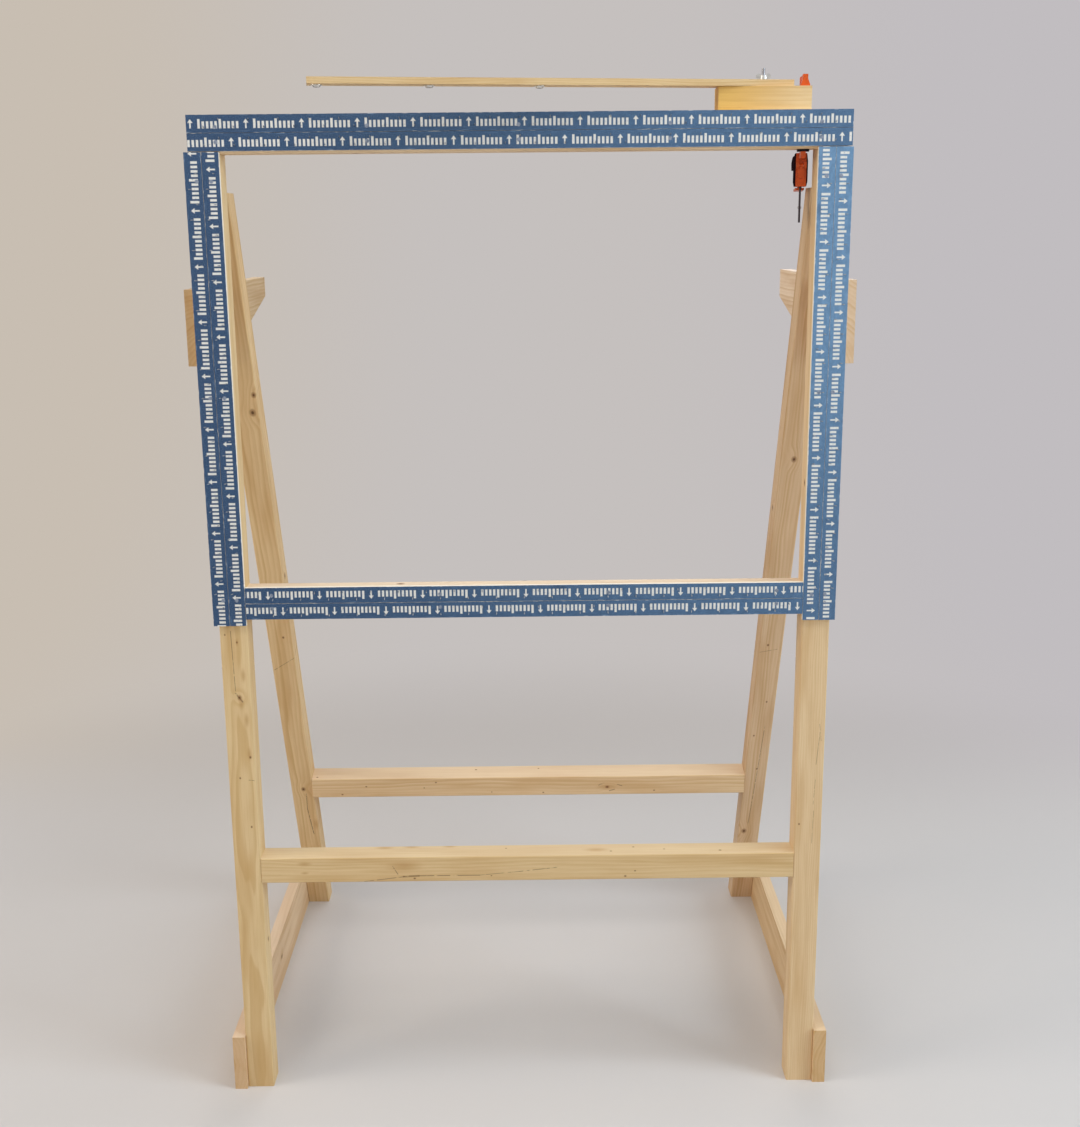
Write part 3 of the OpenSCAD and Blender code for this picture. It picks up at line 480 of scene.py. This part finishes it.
def dress_legs():
    knots = [
        (302, 34, 3.2, "w"), (331, 29, 4.2, "w"), (752, 25, 1.8, "w"), (1100, 21, 3.4, "w"),
        (640, -18, 4.0, "v"),
    ]
    strokes = [(821, 3, 796, 38, 0.7), (1112, 25, 1150, 23, 1.0), (1150, 23, 1215, 28, 1.3)]
    wear("rear_leg_left", timber(
        "pine_rear_leg_left", (-HALF_W, FRONT_Y + LUMBER, leg_top), LEG, pith=(-30, -60), pitch=4.4,
        seed=5.5, tone=(1.02, 0.99, 0.90), contrast=0.7, knots=knots, stains=[(1190, 34, 7, "w")],
        strokes=strokes))
    knots = [
        (1220, 10, 4.0, "w"), (1062, 20, 1.6, "w"), (982, 8, 1.5, "w"), (904, 23, 1.5, "w"),
        (779, 14, 1.8, "w"), (420, 20, 3.6, "w"), (520, -20, 3.6, "v"),
    ]
    strokes = [(794, 2, 788, 30, 0.6), (960, 25, 1050, 22, 0.8), (1050, 22, 1200, 16, 0.7)]
    wear("rear_leg_right", timber(
        "pine_rear_leg_right", (HALF_W - LUMBER, FRONT_Y + LUMBER, leg_top), LEG, pith=(72, -38),
        pitch=4.2, seed=3.2, tone=(0.95, 0.92, 0.96), contrast=0.7, knots=knots, strokes=strokes))


def dress_boards():
    # Name, pith, seed, tone and knots
    looks = (
        ("base_board_left", (40, -90), 6.1, (1.0, 0.99, 1.06), [(310, 45, 4.0, "w")]),
        ("base_board_right", (20, 110), 1.9, (0.99, 0.97, 0.94), [(180, 60, 3.6, "w")]),
        ("side_bracket_left", (-30, 50), 2.2, (0.84, 0.82, 0.80), [(110, 50, 3.0, "w")]),
        ("side_bracket_right", (-30, -60), 7.3, (1.12, 1.21, 1.55), [(300, 70, 4.0, "w")]),
    )
    for name, pith, seed, tone, knots in looks:
        wear(name, timber(
            "pine_" + name, tuple(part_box(name)[0]), BOARD, pith=pith, pitch=5.5, seed=seed,
            knots=knots, tone=tone, contrast=0.8))


def dress_arm():
    """Dresses the thin arm and its block, which is yellower at its left end."""
    low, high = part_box("arm_block")
    wear("arm_block", timber(
        "pine_arm_block", bar_start("arm_block"), BAR, pith=(90, -60), pitch=3.2, seed=3.9,
        contrast=0.3, tone=(1.04, 0.88, 0.42), far_end=((1.06, 1.05, 0.96), (high.x - low.x) / MM)))
    wear("yarn_arm", timber(
        "pine_yarn_arm", tuple(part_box("yarn_arm")[0]), ARM, pith=(24, -40), pitch=2.8, seed=6.6,
        tone=(0.98, 0.97, 0.88), knots=[(262, 4, 2.0, "w"), (425, 5, 1.6, "w")],
        stains=[(262, 4, 6, "w")]))


# Tack strips: blue paint with cream ruler marks on the front, bare plywood on the other faces.
# A strip's own coordinates run along it (u) and outwards (v) from the middle of its front face.
BLUE = srgb(40, 71, 109)
# The pale blue of painted glare and light
BLUE_GLARE_PALE = srgb(118, 158, 196)
BLUE_SCRAPED = srgb(150, 182, 214)
CREAM = srgb(230, 229, 224)
PLY_PALE = srgb(249, 243, 230)
PLY_DARK = srgb(216, 194, 160)

# Ruler marks, in mm
TICK_STEP = 5.4
TICK_W = 3.1
TICK_TALL = 11.4
TICK_SHORT = 8.6
TALL_EVERY = 5.0                           # each fifth tick of a group is tall
GROUP = 13                                 # steps from one group of ticks to the next
TICKS = 10                                 # ticks of one group
FOOT_EDGE = 0.2                            # half the width of the soft edge below the marks
HEAD_SLOPE = 0.75                          # width to height of half an arrow's head
HEAD_FOOT = (0.9, 1.2)                     # where the head ends and the stem starts, from the middle
STEM_TOP = 1.6
STEM_HALF = 1.0
FAR_START = 5000.0                         # keeps the steps' count above zero
START_SHIFT = 37                           # times the seed, so that strips don't match

# Fineness of the noises, per mm along u, v and w
MOTTLE = (1 / 9, 1 / 5, 1)
SPECKLE = (0.9, 0.9, 0.9)
DARK_STAINS = (1 / 45, 1 / 18, 1)
SCRATCHES = (1 / 26, 1.3, 1)
FLECKS = (0.7, 0.7, 0.7)
PRINT_WEAR = (0.5, 0.5, 0.5)
PLY_GRAIN = (1 / 30, 1.2, 1.2)

# Painted glare and light, which make the paint paler: two places in mm, and the share at each
GLARE_UP = (740, 1180, 0.38, 0.88)        # up the right pair
GLARE_ACROSS = (-420, 400, 0.0, 0.36)     # left to right over the others

# Where a colour begins, where it is at its full, and its share of the colour there
SPECKLE_PALE = (0.42, 0.66, 0.16)
STAIN_DARK = (0.64, 0.76, 0.36)
GLUE_DARK = (0.36, 0.48, 0.55)
GRAIN_DARK = (0.48, 0.78, 0.4)
MOTTLE_DARK = (0.35, 0.7, 0.26)            # the other way: full below the first, none above the second
MOTTLE_SHADE = 0.5                         # brightness of dark mottles, as a share of the blue's
STAIN_SHADE = 0.45                         # the same of dark stains

# Edges of scrapes, flecks, worn print and chips, and their shares of the colour
SCRATCH_EDGE = (0.60, 0.67)
SCRATCH_ZONE = (3.4, 0.4)                  # mm from the long sides, where scrapes begin and are full
FLECK_EDGE = (0.74, 0.79)
SCRAPED_SHARE = 0.75
WEAR_EDGE = (0.32, 0.42, 0.25, 1.0)        # from worn print to whole print
CHIP_REACH = (0.4, 0.3)                    # mm from an edge, and the softness of that limit
CHIP_EDGE = (0.54, 0.64)
CHIP_SHARE = 0.7

# The strip's plies and surface
PLIES = 3
FRONT_FACES = (0.4, 0.6)                   # how squarely a face looks to the front, bare to painted
PLY_RELIEF = 0.5
STRIP_BUMP = (0.3, 0.25 * MM)              # strength and height
STRIP_ROUGHNESS = (0.3, 0.7, 0.46, 0.62)
STRIP_SPECULAR = 0.32


def ruler_marks(s, seed):
    """1 on the block ticks and on the arrow between two groups of them, 0 elsewhere."""
    start = s.add(s.u, FAR_START + seed * START_SHIFT)
    step = s.over(start, TICK_STEP)
    index = s.math("FLOOR", step)
    off_tick = s.size_of(s.times(s.minus(s.minus(step, index), 0.5), TICK_STEP))
    in_group = s.math("FLOORED_MODULO", index, float(GROUP))
    is_tall = s.math("LESS_THAN", s.math("FLOORED_MODULO", in_group, TALL_EVERY), 0.5)
    top = s.add(s.times(is_tall, TICK_TALL - TICK_SHORT), TICK_SHORT - TICK_TALL / 2)
    foot = s.rise(s.v, -TICK_TALL / 2 - FOOT_EDGE, -TICK_TALL / 2 + FOOT_EDGE)
    tick = s.times(s.below(off_tick, TICK_W / 2), s.below(s.minus(s.v, top), 0.0))
    tick = s.times(tick, s.math("LESS_THAN", in_group, TICKS - 0.5))

    arrow_middle = (TICKS + GROUP) / 2 * TICK_STEP
    in_length = s.math("FLOORED_MODULO", start, GROUP * TICK_STEP)
    across = s.size_of(s.minus(in_length, arrow_middle))
    head_half = s.times(s.minus(TICK_TALL / 2, s.v), HEAD_SLOPE)
    head = s.times(s.below(s.minus(across, head_half), 0.0), s.rise(s.v, *HEAD_FOOT))
    stem = s.times(s.below(across, STEM_HALF), s.below(s.v, STEM_TOP))
    return s.times(foot, s.most(tick, s.most(head, stem)))


def painted_glare(s, is_right_pair):
    """Painted glare and light: the paint is paler to the right, palest at the upper right."""
    x, _, z = s.split(s.position())
    if is_right_pair:
        return s.span(z, *GLARE_UP)
    return s.span(x, *GLARE_ACROSS)


def old_paint(s, mottle, scrape, glare, seed):
    """Mottled blue with painted glare, dark stains, pale scrapes and pale flecks."""
    speckle = s.texture(SPECKLE, (seed, 7, 0))
    stain = s.texture(DARK_STAINS, (seed * 3, 5, 0))
    fleck = s.rise(s.texture(FLECKS, (seed * 11, 2, 0), detail=1.0), *FLECK_EDGE)
    paint = s.mix(glare, BLUE, BLUE_GLARE_PALE)
    paint = s.mix(s.fall(mottle, *MOTTLE_DARK), paint, darker(BLUE, MOTTLE_SHADE))
    paint = s.mix(s.rise(speckle, *SPECKLE_PALE), paint, BLUE_SCRAPED)
    paint = s.mix(s.rise(stain, *STAIN_DARK), paint, darker(BLUE, STAIN_SHADE))
    return s.mix(s.times(s.most(scrape, fleck), SCRAPED_SHARE), paint, BLUE_SCRAPED)


def plywood(s, grain, thick):
    """Bare plies, as the strip's edges show them."""
    in_ply = s.math("FRACT", s.over(s.w, thick / PLIES))
    glue_line = s.size_of(s.minus(in_ply, 0.5))
    ply = s.mix(s.rise(glue_line, *GLUE_DARK), PLY_PALE, PLY_DARK)
    return s.mix(s.rise(grain, *GRAIN_DARK), ply, PLY_DARK)


def tack_strip(name, place, along, outward, half_length, half_width, thick, seed):
    s = Shader("paint_" + name)
    s.lay(place, turned(along, outward))
    off_middle = s.size_of(s.v)
    mottle = s.texture(MOTTLE, (seed, seed, 0), detail=4.0, roughness=0.7)
    scratch = s.texture(SCRATCHES, (seed * 5, 0, 0), detail=3.0, roughness=0.6)
    zone_in, zone_out = SCRATCH_ZONE
    zone = s.rise(off_middle, half_width - zone_in, half_width - zone_out)
    scrape = s.times(s.rise(scratch, *SCRATCH_EDGE), zone)
    # painted glare and light make the paint paler to the right
    paint = old_paint(s, mottle, scrape, painted_glare(s, "right" in name), seed)

    worn = s.texture(PRINT_WEAR, (seed * 31, 0, 0), detail=3.0, roughness=0.7)
    marks = s.times(ruler_marks(s, seed), s.span(worn, *WEAR_EDGE))
    paint = s.mix(marks, paint, CREAM)

    to_side = s.minus(half_width, off_middle)
    to_end = s.minus(half_length, s.size_of(s.u))
    to_edge = s.math("MINIMUM", to_side, to_end)
    chip = s.times(s.below(to_edge, *CHIP_REACH), s.rise(mottle, *CHIP_EDGE))
    paint = s.mix(s.times(chip, CHIP_SHARE), paint, PLY_PALE)

    grain = s.texture(PLY_GRAIN, detail=3.0)
    is_front = s.rise(s.dot(s.normal(), (0, -1, 0)), *FRONT_FACES)
    colour = s.mix(is_front, plywood(s, grain, thick), paint)
    s.bump(s.minus(s.times(grain, PLY_RELIEF), scrape), *STRIP_BUMP)
    return s.finish(colour, s.span(mottle, *STRIP_ROUGHNESS), specular=STRIP_SPECULAR)


def dress_strips():
    # Each pair's u and v
    directions = {
        "top": ((1, 0, 0), (0, 0, 1)), "lower": ((-1, 0, 0), (0, 0, -1)),
        "left": ((0, 0, 1), (-1, 0, 0)), "right": ((0, 0, -1), (1, 0, 0)),
    }
    names = sorted(n for n in nodes if n.startswith("strip_") and n != "strip_nails")
    for number, name in enumerate(names):
        along, outward = directions[name.split("_")[1]]
        low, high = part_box(name)
        middle = (low + high) / 2
        size = (high - low) / MM
        wear(name, tack_strip(
            name, (middle.x, low.y, middle.z), along, outward, half_length=max(size.x, size.z) / 2,
            half_width=min(size.x, size.z) / 2, thick=size.y, seed=1.0 + number * 1.37))


# Metal and plastic. CLOUD, SKIN, BRUSHED and SCUFFS are the noises' fineness per mm.
METAL_CLOUD = 0.35
METAL_BRUSHED = (1.4, 1.4, 0.08)
METAL_GRIME = (0.4, 0.75)                  # where grime begins and where it is at its full
METAL_GRIME_SHADE = 0.45                   # its brightness, as a share of the metal's
METAL_BUMP = (0.12, 0.1 * MM)              # strength and height
METAL_ROUGHER = (0.75, 1.3)                # least and most, times the given roughness
PLASTIC_SKIN = 2.2
PLASTIC_CLOUD = 0.12
PLASTIC_SCUFFS = (0.9, 0.15, 0.5)
PLASTIC_DARK = (0.35, 0.7, 0.30)           # where dark shades begin, where they are full, their share
PLASTIC_DARK_SHADE = 0.7
SCUFF_PALE = (0.66, 0.78, 0.35)            # the same of scuffs
SCUFF_TIMES = 1.4                          # a scuff's colour, from the plastic's
SCUFF_PLUS = 0.04
PLASTIC_BUMP = 0.15 * MM                   # height
PLASTIC_ROUGHER = (0.8, 1.2)
CLOUD_SPREAD = (0.3, 0.7)                  # the noise at the least and at the most roughness


def metal(name, colour, roughness, grime=0.35):
    """Cloudy, faintly brushed metal."""
    s = Shader(name)
    s.local = s.position()
    cloud = s.noise(s.local, METAL_CLOUD, detail=3.0)
    shade = s.mix(s.rise(cloud, *METAL_GRIME, grime), colour, darker(colour, METAL_GRIME_SHADE))
    s.bump(s.texture(METAL_BRUSHED), *METAL_BUMP)
    least, most = METAL_ROUGHER
    rough = s.span(cloud, *CLOUD_SPREAD, roughness * least, roughness * most)
    return s.finish(shade, rough, metallic=1.0)


def plastic(name, colour, roughness, grain=0.25, specular=0.5):
    """Moulded plastic or rubber with a fine skin, slow shades and pale scuffs."""
    s = Shader(name)
    s.local = s.position()
    cloud = s.noise(s.local, PLASTIC_CLOUD, detail=3.0)
    scuff = s.texture(PLASTIC_SCUFFS, detail=3.0)
    shade = s.mix(s.rise(cloud, *PLASTIC_DARK), colour, darker(colour, PLASTIC_DARK_SHADE))
    scuffed = tuple(min(1.0, c * SCUFF_TIMES + SCUFF_PLUS) for c in colour)
    shade = s.mix(s.rise(scuff, *SCUFF_PALE), shade, scuffed)
    s.bump(s.noise(s.local, PLASTIC_SKIN), grain, PLASTIC_BUMP)
    least, most = PLASTIC_ROUGHER
    rough = s.span(cloud, *CLOUD_SPREAD, roughness * least, roughness * most)
    return s.finish(shade, rough, specular=specular)


def dress_small_parts():
    looks = (
        (metal("zinc_bright", srgb(198, 198, 196), 0.42),
         ("arm_washer", "wing_nut", "clamp_stop_pin", "clamp_trigger_pin", "clamp_release_pin",
          "clamp_spring")),
        (metal("steel_plain", srgb(142, 142, 146), 0.40), ("pivot_bolt",)),
        (metal("eyelet_nickel", srgb(218, 216, 210), 0.18, grime=0.2),
         ("yarn_eyelet_end", "yarn_eyelet_middle", "yarn_eyelet_inner")),
        (metal("screw_zinc", srgb(150, 142, 118), 0.52),
         ("screws_top_bar", "screws_lower_bar", "screws_front_rail", "screws_rear_rail",
          "screws_base_boards", "screws_brackets")),
        (metal("blackened_steel", srgb(70, 62, 66), 0.42),
         ("clamp_bar", "clamp_drive_plate", "clamp_brake_plate")),
        (metal("nail_steel", srgb(150, 160, 176), 0.6), ("strip_nails",)),
        (metal("pin_steel", srgb(176, 178, 182), 0.35),
         ("tack_pins_top", "tack_pins_lower", "tack_pins_left", "tack_pins_right")),
        (plastic("moulded_orange", srgb(216, 88, 24), 0.42, specular=0.4),
         ("clamp_top_jaw", "clamp_body", "clamp_trigger", "clamp_release_lever")),
        (plastic("moulded_black", srgb(40, 26, 34), 0.80, specular=0.0),
         ("clamp_grip_left", "clamp_grip_right")),
        (plastic("pad_rubber", srgb(32, 24, 30), 0.85, grain=0.5, specular=0.2),
         ("clamp_lower_pad",)),
    )
    for material, names in looks:
        for name in names:
            wear(name, material)


# Stage: a pale sheet that lies on the floor and runs up behind the frame in one curve
SWEEP_BACK = 3.3
SWEEP_RADIUS = 1.4
SWEEP_HALF = 7.0
SWEEP_FRONT = -7.0
SWEEP_HIGH = 6.0
SWEEP_STEPS = 32
FLOOR = srgb(209, 206, 206)
# The wall's sides carry painted light: warm on the left, cool on the right
WALL_WARM_LIGHT_LEFT = srgb(200, 190, 178)
WALL_MIDDLE = srgb(197, 192, 190)
WALL_COOL_LIGHT_RIGHT = srgb(193, 189, 192)
PAPER_ROUGHNESS = 0.9
PAPER_SPECULAR = 0.1

# Where a blend starts and ends, in mm
WALL_BLEND = (200, 1700)                   # painted warm light on the left and cool light on the right, from the middle
SEAM = (420, 1300)                         # floor to wall, behind the middle
WALL_SIDE = (2600, 4500)                   # wall to floor colour, to either side
WALL_TOP = (2600, 4500)                    # wall to floor colour, upwards
FAR = (900, 2000)                          # lamplight to an even tone, from the frame's middle


def sweep_profile():
    """The sheet's (y, z) from front to top."""
    bend = SWEEP_BACK - SWEEP_RADIUS
    curve = []
    for k in range(1, SWEEP_STEPS + 1):
        a = math.radians(90 * k / SWEEP_STEPS)
        curve.append((bend + SWEEP_RADIUS * math.sin(a), SWEEP_RADIUS * (1 - math.cos(a))))
    return [(SWEEP_FRONT, 0.0), (bend, 0.0), *curve, (SWEEP_BACK, SWEEP_HIGH)]


def make_stage():
    profile = sweep_profile()
    count = len(profile)
    verts = [(x, y, z) for x in (-SWEEP_HALF, SWEEP_HALF) for y, z in profile]
    faces = [(k, k + 1, count + k + 1, count + k) for k in range(count - 1)]
    mesh = bpy.data.meshes.new("sweep")
    mesh.from_pydata(verts, [], faces)
    for polygon in mesh.polygons:
        polygon.use_smooth = True
    sweep = bpy.data.objects.new("sweep", mesh)
    bpy.context.scene.collection.objects.link(sweep)
    mesh.materials.append(sweep_paper())


def seen_rays(tree):
    """1 for the rays that show a surface or mirror it, 0 for those that carry light."""
    rays = tree.nodes.new("ShaderNodeLightPath")
    seen = rays.outputs["Is Camera Ray"]
    for kind in ("Is Glossy Ray", "Is Transmission Ray"):
        either = tree.nodes.new("ShaderNodeMath")
        either.operation = "MAXIMUM"
        tree.links.new(seen, either.inputs[0])
        tree.links.new(rays.outputs[kind], either.inputs[1])
        seen = either.outputs[0]
    return seen


def sweep_paper():
    """Paper that takes light and shadow near the frame and shows its own tone far from it, with painted
    warm light on the left of the wall and painted cool light on its right.
    """
    s = Shader("sweep_paper")
    x, y, z = s.split(s.position())
    wall = s.mix(s.rise(x, *WALL_BLEND), WALL_MIDDLE, WALL_COOL_LIGHT_RIGHT)
    wall = s.mix(s.rise(s.times(x, -1.0), *WALL_BLEND), wall, WALL_WARM_LIGHT_LEFT)
    near = s.times(s.fall(s.size_of(x), *WALL_SIDE), s.fall(z, *WALL_TOP))
    paper = s.mix(s.times(s.rise(y, *SEAM), near), FLOOR, wall)
    material = s.finish(paper, PAPER_ROUGHNESS, specular=PAPER_SPECULAR)

    glow = s.node("ShaderNodeEmission")
    s.put(glow.inputs["Color"], paper)
    blend = s.node("ShaderNodeMixShader")
    s.put(blend.inputs[0], s.times(s.rise(s.reach(x, y), *FAR), seen_rays(s.tree)))
    s.put(blend.inputs[1], s.surface.outputs[0])
    s.put(blend.inputs[2], glow.outputs[0])
    s.put(s.tree.nodes["Material Output"].inputs["Surface"], blend.outputs[0])
    return material


def area_light(name, place, target, size, power, colour):
    """A rectangular lamp that faces the target, its power in watts."""
    data = bpy.data.lights.new(name, "AREA")
    data.shape = "RECTANGLE"
    data.size, data.size_y = size
    data.energy = power
    data.color = colour
    light = bpy.data.objects.new(name, data)
    bpy.context.scene.collection.objects.link(light)
    light.location = place
    light.rotation_euler = (Vector(target) - Vector(place)).to_track_quat("-Z", "Y").to_euler()


def make_lights():
    # Name, place, target, size, power and colour
    area_light("ceiling", (0.1, -0.9, 3.3), (0.0, -0.1, 0.6), (2.6, 2.0), 45, (1.0, 0.99, 0.96))
    area_light("window_right", (3.4, -1.6, 1.9), (0.0, -0.2, 0.8), (1.8, 2.0), 95, (0.80, 0.92, 1.0))
    area_light("window_left", (-3.4, -1.2, 2.2), (0.0, -0.2, 0.7), (1.8, 2.0), 62, (1.0, 0.92, 0.79))
    area_light("room_front", (-1.6, -3.8, 1.5), (0.0, -0.2, 0.7), (2.4, 1.8), 16, (1.0, 0.97, 0.93))
    area_light("room_back", (0.4, 2.7, 2.9), (0.0, 0.0, 0.7), (2.2, 1.6), 26, (1.0, 0.98, 0.95))


ROOM_LIGHT = 0.235                         # the room's light on the object, as a share of what is seen


def make_world():
    """A dim room for lighting, which the camera and mirror-like surfaces see as bright as the floor."""
    world = bpy.data.worlds.new("room")
    world.use_nodes = True
    tree = world.node_tree
    background = tree.nodes["Background"]
    background.inputs["Color"].default_value = (*FLOOR, 1.0)
    strength = tree.nodes.new("ShaderNodeMapRange")
    strength.inputs["To Min"].default_value = ROOM_LIGHT
    strength.inputs["To Max"].default_value = 1.0
    tree.links.new(seen_rays(tree), strength.inputs["Value"])
    tree.links.new(strength.outputs[0], background.inputs["Strength"])
    bpy.context.scene.world = world


make_camera()
dress_uprights()
dress_bars()
dress_rear_rail()
dress_legs()
dress_boards()
dress_arm()
dress_strips()
dress_small_parts()
make_stage()
make_lights()
make_world()
bpy.context.scene.view_settings.view_transform = "Standard"
